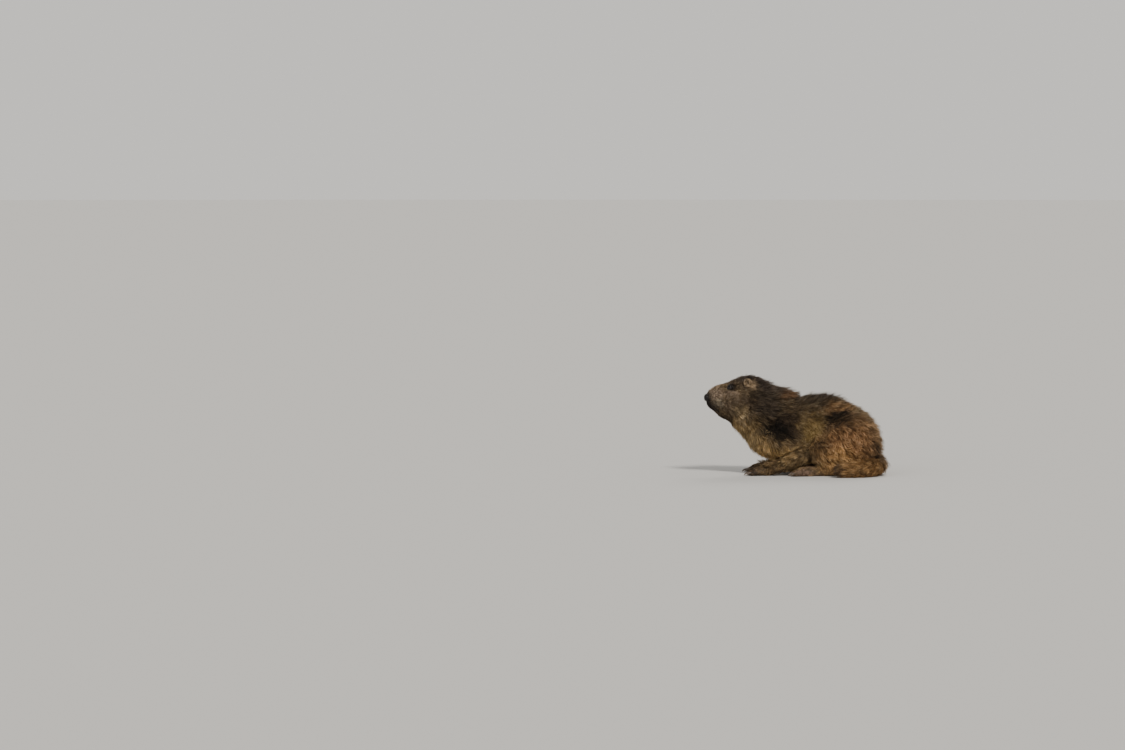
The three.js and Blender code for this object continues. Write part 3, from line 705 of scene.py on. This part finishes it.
def tuft_mesh(name, vertices, uv):
    """A mesh of tufts, from arrays of each tuft's vertices and of their places on the unwrap."""
    count, points = vertices.shape[:2]
    firsts = np.arange(count) * points
    loops = (np.array(tuft_faces(points // 3))[None] + firsts[:, None, None]).ravel()
    mesh = bpy.data.meshes.new(name)
    mesh.vertices.add(count * points)
    mesh.vertices.foreach_set("co", ((vertices.reshape(-1, 3) + SHIFT) / 1000).ravel())
    mesh.loops.add(len(loops))
    mesh.loops.foreach_set("vertex_index", loops.astype(np.int32))
    mesh.polygons.add(len(loops) // 3)
    mesh.polygons.foreach_set("loop_start", np.arange(0, len(loops), 3, dtype=np.int32))
    mesh.update(calc_edges=True)
    mesh.polygons.foreach_set("use_smooth", np.ones(len(loops) // 3, bool))
    mesh.uv_layers.new(name="OFBake").data.foreach_set("uv", uv.reshape(-1, 2)[loops].ravel())
    return mesh


def grow_coat(name, patches, count, length, depth, lie_of, lock, fine, wild, seed, material_slot):
    """Adds a piece of coat: tufts rooted at random on some patches of the skin.

    Length and depth are numbers or functions of the roots. A lock is how many tufts lean together to
    one tip. Fine tufts have one bend, the others two.
    """
    random = np.random.default_rng(seed)
    roots, spots = random_roots(random, np.flatnonzero(patches), count)
    leader = nearest_leaders(roots, count // lock)

    guard = (random.random(count) < GUARD_SHARE)[leader]
    long = length(roots) if callable(length) else np.full(count, length)
    wide = (THINNEST + THICKENING * long) * random.uniform(0.75, 1.25, count)
    wide = wide * np.where(guard, GUARD_THINNER, 1)
    long = long * random.uniform(0.75, 1.15, count) * np.where(guard, GUARD_LONGER, 1)
    lift = depth(roots) if callable(depth) else np.full(count, depth)
    lift = lift * random.uniform(0.7, 1.15, count)[leader] * random.uniform(0.8, 1.05, count)

    _, outwards = out_of_skin(roots, with_face=False)
    open_above = 0.35 + 0.65 * step_up(outwards[:, 2], -0.5, 0.3)
    proud = guard * random.uniform(0.3, 1.0, count)[leader] * open_above
    swirl = np.stack([ripple(roots, SWIRL_WIDTH, seed + k) for k in (11, 12, 13)], 1)
    own = random.normal(size=(count, 3))
    lie = unit(lie_of(roots)) + SWIRL * swirl + wild * (own[leader] + own)
    lie = unit(lie - outwards * (lie * outwards).sum(1, keepdims=True))
    shares = (0.5, 1.0) if fine else (0.34, 0.7, 1.0)
    heights = (0.6, 1.1) if fine else (0.5, 0.88, 1.15)
    sizes = (0.7, 1.0) if fine else (0.6, 1.0, 0.7)
    stations = [roots - outwards]
    place = roots
    before = 0.0
    for share, height in zip(shares, heights):
        place = place + lie * (long * (share - before))[:, None]
        place = pressed(place, lift * (height + proud * share), 1, with_face=False)
        pull = np.where(guard, GUARD_PULL, LOCK_PULL) * share
        stations.append(place + (place[leader] - place) * pull[:, None])
        before = share
    across = unit(np.cross(lie, outwards))
    vertices = []
    for here, following, size in zip(stations[:-1], stations[1:], sizes):
        over = unit(np.cross(across, unit(following - here)))
        for aside, up in BLADE:
            vertices.append(here + 0.5 * size * wide[:, None] * (aside * across + up * over))
    vertices = np.stack(vertices + [stations[-1]], 1)
    vertices[:, :, 2] = np.maximum(vertices[:, :, 2], FLOOR_GAP)

    along = np.append(np.repeat((0,) + shares[:-1], 3), 1.0)
    beside = np.append(np.tile((0.0, 1.0, 0.5), len(sizes)), 0.5)
    uv = spots[:, None] + HAIR_PATCH * (np.stack([beside, along], 1) - 0.5)
    mesh = tuft_mesh(name, vertices, uv)
    keep_markings_and_painted_light(mesh, np.repeat(markings_and_painted_light(roots), len(along), 0))
    keep_values(mesh, "along", np.tile(along, count))
    chance = LOCK_CHANCE * random.random(count)[leader] + (1 - LOCK_CHANCE) * random.random(count)
    keep_values(mesh, "chance", np.repeat(chance, len(along)))
    piece = bpy.data.objects.new(name, mesh)
    bpy.context.collection.objects.link(piece)
    mesh.materials.append(marmot_hair)
    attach(piece, "root")


# Marmot hair: each hair is dark at its root, takes its marking along its length, painted shade and painted
# highlight included, and is paler at the tip, and the hairs of a lock are lighter or darker than the next
# lock's, so the coat looks grizzled.
marmot_hair = new_material("marmot hair")
marking_and_painted_light = add_node(marmot_hair, "ShaderNodeAttribute", attribute_name="marking_and_painted_light")
along_hair = add_node(marmot_hair, "ShaderNodeAttribute", attribute_name="along")
hair_chance = add_node(marmot_hair, "ShaderNodeAttribute", attribute_name="chance")
root_shade = add_node(
    marmot_hair,
    "ShaderNodeMapRange",
    {"Value": along_hair.outputs["Fac"], "From Max": 0.7, "To Min": 0.1, "To Max": 1.0},
)
lock_shade = add_node(
    marmot_hair,
    "ShaderNodeMapRange",
    {
        "Value": hair_chance.outputs["Fac"],
        "From Min": 0.15,
        "From Max": 0.85,
        "To Min": 0.35,
        "To Max": 1.7,
    },
)
shade = add_node(
    marmot_hair,
    "ShaderNodeMath",
    {0: root_shade.outputs["Result"], 1: lock_shade.outputs["Result"]},
    operation="MULTIPLY",
)
shaded_hair = add_node(
    marmot_hair,
    "ShaderNodeVectorMath",
    {0: marking_and_painted_light.outputs["Color"], "Scale": shade.outputs["Value"]},
    operation="SCALE",
)
pale_hair = add_node(marmot_hair, "ShaderNodeGamma", {"Color": marking_and_painted_light.outputs["Color"], "Gamma": 0.6})
tip_share = add_node(
    marmot_hair,
    "ShaderNodeMapRange",
    {"Value": along_hair.outputs["Fac"], "From Min": 0.5, "To Max": 0.9},
)
pale_share = add_node(
    marmot_hair,
    "ShaderNodeMapRange",
    {"Value": hair_chance.outputs["Fac"], "From Min": 0.5, "From Max": 0.75},
)
grizzle = add_node(
    marmot_hair,
    "ShaderNodeMath",
    {0: tip_share.outputs["Result"], 1: pale_share.outputs["Result"]},
    operation="MULTIPLY",
)
grizzled = add_node(
    marmot_hair,
    "ShaderNodeMix",
    {0: grizzle.outputs["Value"], 6: shaded_hair.outputs["Vector"], 7: pale_hair.outputs["Color"]},
    data_type="RGBA",
)
finish_material(
    marmot_hair, {"Base Color": grizzled.outputs[2], "Roughness": 0.7, "Specular IOR Level": 0.25}
)

BARE_ROUND_EYE = 6.9
BARE_ROUND_NOSE = 0.6
BARE_ROUND_MOUTH = 1.8
BARE_UNDERNEATH = 1.5
MUZZLE_END = -142
HEAD_END = -4  # behind the plane where the head meets the neck
NECK_END = -25
FLANK_END = 40
BACK_EDGE = 116
nose_gap = mass_distance(patch_middles, NOSE_MIDDLE, NOSE_SIZE, NOSE_PITCH)
eye_gap = np.linalg.norm(mirrored(patch_middles) - EYE, axis=1)
hairy = (eye_gap > BARE_ROUND_EYE) & (nose_gap > BARE_ROUND_NOSE)
hairy &= from_mouth(patch_middles) > BARE_ROUND_MOUTH
clear_of_floor = patch_middles[:, 2] > BARE_UNDERNEATH
behind = behind_head(patch_middles)
px, _, pz = patch_middles.T
on_muzzle = on_form["body"] & hairy & (px < MUZZLE_END)
on_head = on_form["body"] & hairy & (px >= MUZZLE_END) & (behind < HEAD_END)
on_trunk = on_form["body"] & clear_of_floor & (behind >= HEAD_END)
on_neck = on_trunk & (px < NECK_END)
on_back = on_trunk & (px >= NECK_END) & (pz > BACK_EDGE)
on_side = on_trunk & (px >= NECK_END) & (pz <= BACK_EDGE)
on_flank = on_side & (px <= FLANK_END)
on_haunch = on_side & (px > FLANK_END)
on_paws = on_form["paw"] & clear_of_floor
on_tail = on_form["tail"] & clear_of_floor

body_coat = {"length": body_length, "depth": coat_depth, "lie_of": lie_of_body}
face_hair = {"lock": 5, "fine": True, "material_slot": "head_fur", **body_coat}
trunk_hair = {"lock": 3, "fine": False, **body_coat}
grow_coat("coat_muzzle", on_muzzle, 16000, wild=0.14, seed=31, **face_hair)
grow_coat("coat_head", on_head, 19000, wild=0.16, seed=32, **face_hair)
grow_coat("coat_neck", on_neck, 12400, wild=0.19, seed=33, material_slot="neck_fur", **trunk_hair)
grow_coat("coat_back", on_back, 12400, wild=0.19, seed=34, material_slot="back_fur", **trunk_hair)
grow_coat("coat_flanks", on_flank, 11500, wild=0.19, seed=35, material_slot="back_fur", **trunk_hair)
grow_coat("coat_haunches", on_haunch, 12400, wild=0.24, seed=36, material_slot="haunch_fur", **trunk_hair)
grow_coat("coat_forelegs", on_form["arm"], 8500, 14, LIMB_COAT, lie_of_arm, 5, True, 0.2, 37, "foreleg_fur")
grow_coat("coat_paws", on_paws, 8000, 4.5, PAW_COAT, lie_of_paw, 6, True, 0.15, 38, "foot_skin")
grow_coat("coat_tail", on_tail, 8500, 34, TAIL_COAT, lie_of_tail, 5, False, 0.2, 39, "tail_fur")
grow_coat("coat_ears", on_form["ear"], 4200, 4.5, EAR_COAT, lie_of_ear, 4, True, 0.12, 40, "ear_fur")

# Eyes
# Each eye is dark and wet, with a brown iris that is hardly lighter than its pupil, under a clear bulge.
# It is a ball whose front is pushed out as the cornea, and it rolls in a rim of bare black lid.
IRIS_ANGLE = math.radians(48)
PUPIL_ANGLE = math.radians(24)
CORNEA_BULGE = 0.35
LID_RIDGE = 0.95
LID_SIZE = (5.9, 4.6)
LID_HEIGHT = 3.4  # over the middle of the eye, and less at the corners
LID_CURVE = 1.0
LID_NARROWING = 0.3
LID_LINE = (0.94, 0, 0.34)  # from the front corner of the lids to the back one
wet_eye = new_material("wet eye")
from_pupil = add_node(wet_eye, "ShaderNodeAttribute", attribute_name="from_pupil")
eye_place = add_node(wet_eye, "ShaderNodeTexCoord")
iris_streaks = add_node(
    wet_eye, "ShaderNodeTexNoise", {"Vector": eye_place.outputs["Object"], "Scale": 1500.0, "Detail": 2.0}
)
iris_edge = add_node(
    wet_eye,
    "ShaderNodeMath",
    {0: iris_streaks.outputs["Fac"], 1: 0.02, 2: from_pupil.outputs["Fac"]},
    operation="MULTIPLY_ADD",
)
eye_colours = add_node(wet_eye, "ShaderNodeValToRGB", {"Fac": iris_edge.outputs["Value"]})
ramp = eye_colours.color_ramp
ramp.elements[0].position = PUPIL_ANGLE / math.pi
ramp.elements[0].color = (*linear("#050404"), 1)
ramp.elements[1].position = IRIS_ANGLE / math.pi
ramp.elements[1].color = (*linear("#0d0807"), 1)
iris = ramp.elements.new((PUPIL_ANGLE + 0.12) / math.pi)
iris.color = (*linear("#1d110b"), 1)
finish_material(wet_eye, {"Base Color": eye_colours.outputs["Color"], "Roughness": 0.06, "IOR": 1.36})

bare_lid = new_material("bare lid skin")
lid_normal = grain_normal(bare_lid, 1800.0, 4.0, 0.4, 0.0004)
finish_material(
    bare_lid, {"Base Color": (*linear("#140f0d"), 1.0), "Roughness": 0.5, "Normal": lid_normal}
)
for name, side in (("left", -1), ("right", 1)):
    middle = EYE * [1, side, 1]
    out = Vector(EYE_OUT * [1, side, 1])
    along = Vector(LID_LINE)
    along = (along - out * along.dot(out)).normalized()
    up = out.cross(along) * side
    bpy.ops.object.select_all(action="DESELECT")
    eye = add_ball(middle, [EYE_RADIUS] * 3, segments=40)
    eye.name = f"eye_{name}_ball"
    bpy.ops.object.transform_apply(location=True, rotation=True, scale=True)
    spokes = mesh_points(eye) - middle
    angle = np.arccos(np.clip(spokes @ np.array(out) / EYE_RADIUS, -1, 1))
    bulge = CORNEA_BULGE * (1 - step_up(angle, 0, IRIS_ANGLE))
    place_points(eye, middle + spokes * (1 + bulge / EYE_RADIUS)[:, None])
    keep_values(eye.data, "from_pupil", angle / math.pi)
    bpy.ops.object.shade_smooth()
    eye.data.materials.append(wet_eye)
    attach(eye, "root")
    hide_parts(f"eye_{name}")

    bpy.ops.object.select_all(action="DESELECT")
    bpy.ops.mesh.primitive_torus_add(
        major_segments=48, minor_segments=12, major_radius=1, minor_radius=LID_RIDGE / EYE_RADIUS
    )
    lid = bpy.context.active_object
    lid.name = f"lids_{name}"
    flat = np.empty(len(lid.data.vertices) * 3)
    lid.data.vertices.foreach_get("co", flat)
    ring = flat.reshape(-1, 3) * [*LID_SIZE, EYE_RADIUS]
    to_corner = (ring[:, 0] / LID_SIZE[0]) ** 2
    ring[:, 1] *= 1 - LID_NARROWING * to_corner
    ring[:, 2] += LID_HEIGHT - LID_CURVE * to_corner
    turned = ring @ np.array([along, up, out])
    place_points(lid, middle + turned)
    bpy.ops.object.shade_smooth()
    if side < 0:
        bpy.ops.object.mode_set(mode="EDIT")
        bpy.ops.mesh.select_all(action="SELECT")
        bpy.ops.mesh.normals_make_consistent(inside=False)
        bpy.ops.object.mode_set(mode="OBJECT")
    lid.data.materials.append(bare_lid)
    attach(lid, "root")

# Nose
# The nose is bare black leather, pebbled and a little moist, with two nostrils that curl outwards and a
# cleft between them. It is a ball with the nostrils and the cleft pressed in.
NOSTRIL = np.array([-191.0, 3.9, 160.4])
NOSTRIL_DEPTH = 4.2
SLIT_DEPTH = 2.4
CLEFT_DEPTH = 1.0
WING_HEIGHT = 0.6  # of the rim over each nostril
FLAT_FRONT = -189.5
bpy.ops.object.select_all(action="DESELECT")
nose = add_ball(NOSE_MIDDLE, NOSE_SIZE, NOSE_PITCH, segments=96)
nose.name = "nose_leather"
bpy.ops.object.transform_apply(location=True, rotation=True, scale=True)
points = mesh_points(nose)
outwards = unit((points - NOSE_MIDDLE) / np.square(NOSE_SIZE))
folded = mirrored(points) - NOSTRIL
front = step_up(-points[:, 0], 184, 188)
opening = np.exp(-((folded[:, 1] / 1.9) ** 2) - (folded[:, 2] / 1.6) ** 2)
slit = np.exp(-(((folded[:, 1] - 3.0) / 2.4) ** 2) - ((folded[:, 2] - 0.9) / 0.8) ** 2)
cleft = np.exp(-((points[:, 1] / 0.7) ** 2)) * step_up(-points[:, 2], -162, -157)
wing = np.exp(-(((folded[:, 1] - 1.2) / 3.4) ** 2) - ((folded[:, 2] - 3.4) / 1.6) ** 2)
blunt = np.minimum(points[:, 0] - FLAT_FRONT, 0) * 0.5
press = NOSTRIL_DEPTH * opening + SLIT_DEPTH * slit + CLEFT_DEPTH * cleft - WING_HEIGHT * wing
press = front * press
place_points(nose, points - outwards * press[:, None] - blunt[:, None] * [1, 0, 0])
bpy.ops.object.shade_smooth()
nose_leather = new_material("moist nose leather")
nose_place = add_node(nose_leather, "ShaderNodeTexCoord")
pebbles = add_node(
    nose_leather, "ShaderNodeTexVoronoi", {"Vector": nose_place.outputs["Object"], "Scale": 1400.0}
)
pebble_bump = add_node(
    nose_leather,
    "ShaderNodeBump",
    {"Height": pebbles.outputs["Distance"], "Strength": 0.6, "Distance": -0.0003},
)
finish_material(
    nose_leather,
    {
        "Base Color": two_tones(nose_leather, pebbles.outputs["Distance"], "#1c1514", "#0e0a09"),
        "Roughness": 0.45,
        "Specular IOR Level": 0.35,
        "Normal": pebble_bump.outputs["Normal"],
    },
)
nose.data.materials.append(nose_leather)
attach(nose, "root")
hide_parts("nose")


# Claws
# Horn claws, strong and blunt for digging: dark brown, paler to the tip. Each is swept along a line that
# curves down from under the hair of its toe.
def sweep(name, paths, radii, sides):
    """Adds one mesh of round tapered rods, one along each path, closed to a point at both ends."""
    turns = np.linspace(0, 2 * math.pi, sides, endpoint=False)
    vertices, faces, shares = [], [], []
    for path, thickness in zip(paths, radii):
        run = unit(np.gradient(path, axis=0))
        aside = unit(np.cross(run, [0.02, 0.03, 1.0]))
        over = np.cross(aside, run)
        ring = np.cos(turns)[None, :, None] * aside[:, None]
        ring = ring + np.sin(turns)[None, :, None] * over[:, None]
        start = len(vertices)
        vertices += list((path[:, None] + ring * np.array(thickness)[:, None, None]).reshape(-1, 3))
        shares += list(np.repeat(np.linspace(0, 1, len(path)), sides))
        for i in range(len(path) - 1):
            for k in range(sides):
                a, b = start + i * sides + k, start + i * sides + (k + 1) % sides
                faces.append((a, b, b + sides, a + sides))
        faces.append(tuple(range(start + sides - 1, start - 1, -1)))
        faces.append(tuple(range(start + (len(path) - 1) * sides, start + len(path) * sides)))
    mesh = bpy.data.meshes.new(name)
    mesh.from_pydata([(v + SHIFT) / 1000 for v in np.array(vertices)], [], faces)
    keep_values(mesh, "along", shares)
    mesh.polygons.foreach_set("use_smooth", np.ones(len(faces), bool))
    piece = bpy.data.objects.new(name, mesh)
    bpy.context.collection.objects.link(piece)
    return piece


claw_horn = new_material("claw horn")
along_claw = add_node(claw_horn, "ShaderNodeAttribute", attribute_name="along")
claw_colour = two_tones(claw_horn, along_claw.outputs["Fac"], "#2a211b", "#75665a")
claw_normal = grain_normal(claw_horn, 900.0, 3.0, 0.3, 0.0003)
finish_material(claw_horn, {"Base Color": claw_colour, "Roughness": 0.35, "Normal": claw_normal})
# Each station of a claw has its share of the length, its height and its half thickness.
CLAW_STEPS = 4
CLAW_SHAPE = [(-0.05, 6.2, 1.9), (0.2, 6.5, 2.0), (0.5, 5.9, 1.7), (0.8, 3.8, 1.1), (1.0, 1.3, 0.25)]
for foot, toes, claw_length in (("forefoot", FORE_TOES, 12), ("hindfoot", HIND_TOES, 9)):
    for name, side in (("left", -1), ("right", 1)):
        paths = []
        for places, _ in toes:
            root, _, tip = np.array(places, float)
            away = (tip[1] - root[1]) / abs(tip[0] - root[0])
            reaches = np.array([share * claw_length - 0.7 for share, _, _ in CLAW_SHAPE])
            heights = [z for _, z, _ in CLAW_SHAPE]
            line = np.stack([tip[0] - reaches, side * (tip[1] + away * reaches), heights], 1)
            paths.append(smooth_curve(line, CLAW_STEPS))
        last = len(CLAW_SHAPE) - 1
        stops = np.linspace(0, last, last * CLAW_STEPS + 1)
        thickness = np.interp(stops, range(last + 1), [radius for _, _, radius in CLAW_SHAPE])
        claws = sweep(f"claws_{foot}_{name}", paths, [thickness] * len(paths), 10)
        claws.data.materials.append(claw_horn)
        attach(claws, "root")
        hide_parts(*[f"{foot}_{name}_claw_{i + 1}" for i in range(len(toes))])

# Whiskers
# Stiff dark bristles in four rows on each side of the muzzle, with a few over the eye. They sweep out
# and back, and taper from 0.7 mm to a fine tip.
BRISTLE_RADIUS = 0.3
BRISTLE_TIP = 0.04
BRISTLE_BEND = np.array([8.0, -3.0, -5.0])
random = np.random.default_rng(51)
t = np.linspace(0, 1, 9)[:, None]
whisker_paths = []
for side in (-1, 1):
    for row, (z, count) in enumerate(((158, 3), (154, 4), (150, 4), (146, 3))):
        for i in range(count):
            x = -179 + 5.5 * i + row
            root = leave((x, 0, z), (0, 1, 0)) - [0, 1.5, 0]
            length = (26 + 7 * i) * random.uniform(0.85, 1.1)
            sweep_back = unit(np.array([[0.2 + 0.12 * i, 1.0, 0.14 - 0.18 * row]]))[0]
            path = root + sweep_back * length * t + BRISTLE_BEND * t * t
            path = path + random.normal(size=3) * 1.5 * t * t
            whisker_paths.append(path * [1, side, 1])
    for i in range(3):
        root = leave((-143 + 4 * i, 0, 190), (0, 1, 0)) - [0, 1.0, 0]
        path = root + np.array([5.0 + 3 * i, 12.0, 5.0 - i]) * t + np.array([6.0, 0.0, -3.0]) * t * t
        whisker_paths.append(path * [1, side, 1])
bristle_radii = BRISTLE_RADIUS * (1 - t[:, 0] ** 1.5) + BRISTLE_TIP
whiskers = sweep("whiskers", whisker_paths, [bristle_radii] * len(whisker_paths), 5)
bristle = new_material("whisker bristle")
along_bristle = add_node(bristle, "ShaderNodeAttribute", attribute_name="along")
bristle_colour = two_tones(bristle, along_bristle.outputs["Fac"], "#1c1512", "#4a3a2e")
finish_material(bristle, {"Base Color": bristle_colour, "Roughness": 0.4})
whiskers.data.materials.append(bristle)
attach(whiskers, "root")

# Floor, light and camera
# A matt pale floor runs out into an even pale sky, under a soft key light from the upper right, a weak
# fill and a light from behind. The camera stands far off and shows 2.1 mm in each pixel.
bpy.ops.object.select_all(action="DESELECT")
bpy.ops.mesh.primitive_circle_add(vertices=128, radius=90, fill_type="NGON", location=(0, 0, 0))
floor = bpy.context.active_object
floor.name = "floor"
matt_floor = new_material("matt floor")
finish_material(
    matt_floor, {"Base Color": (*linear("#d2d2d1"), 1.0), "Roughness": 1.0, "Specular IOR Level": 0.0}
)
floor.data.materials.append(matt_floor)

HORIZON_LIGHT = 0.79  # as bright as the floor looks far off
OVERHEAD_LIGHT = 0.36
world = bpy.data.worlds.new("studio sky")
world.use_nodes = True
world.node_tree.nodes.clear()
sky_direction = add_node(world, "ShaderNodeTexCoord")
sky_split = add_node(world, "ShaderNodeSeparateXYZ", {"Vector": sky_direction.outputs["Generated"]})
sky_light = add_node(
    world,
    "ShaderNodeMapRange",
    {
        "Value": sky_split.outputs["Z"],
        "From Min": 0.06,
        "From Max": 0.3,
        "To Min": HORIZON_LIGHT,
        "To Max": OVERHEAD_LIGHT,
    },
    interpolation_type="SMOOTHSTEP",
)
sky = add_node(
    world,
    "ShaderNodeBackground",
    {"Color": (*linear("#fffcf6"), 1.0), "Strength": sky_light.outputs["Result"]},
)
add_node(world, "ShaderNodeOutputWorld", {"Surface": sky.outputs[0]})
bpy.context.scene.world = world


def add_sun(name, towards, strength, softness, colour):
    """Adds a far soft lamp in a direction, whose light is as strong all over the floor."""
    sun = bpy.data.objects.new(name, bpy.data.lights.new(name, "SUN"))
    sun.data.energy = strength
    sun.data.angle = math.radians(softness)
    sun.data.color = linear(colour)
    sun.rotation_euler = Vector(towards).to_track_quat("Z", "Y").to_euler()
    bpy.context.collection.objects.link(sun)


add_sun("key", (0.7, -1.9, 1.8), 2.6, 12, "#fff8ee")
add_sun("fill", (-1.6, -1.9, 0.5), 0.7, 60, "#f6f9ff")
add_sun("rim", (0.6, 2.2, 1.8), 0.9, 30, "#fffaf2")

MM_PER_PIXEL = 2.1
PICTURE = (1125, 750)
ZERO_PIXEL = (795, 474)  # of the photograph, where the animal's own X and Z are 0
DISTANCE = 8000
SENSOR_WIDTH = 36
ELEVATION = math.radians(3)
camera = bpy.data.objects.new("camera", bpy.data.cameras.new("camera"))
bpy.context.collection.objects.link(camera)
camera.data.sensor_width = SENSOR_WIDTH
camera.data.lens = SENSOR_WIDTH * DISTANCE / (PICTURE[0] * MM_PER_PIXEL)
aim_x = (PICTURE[0] / 2 - ZERO_PIXEL[0]) * MM_PER_PIXEL
aim_z = (ZERO_PIXEL[1] - PICTURE[1] / 2) * MM_PER_PIXEL / math.cos(ELEVATION)
aim = (np.array([aim_x, 0, aim_z]) + SHIFT) / 1000
camera.location = aim + np.array([0, -math.cos(ELEVATION), math.sin(ELEVATION)]) * DISTANCE / 1000
camera.rotation_euler = (math.pi / 2 - ELEVATION, 0, 0)
bpy.context.scene.camera = camera
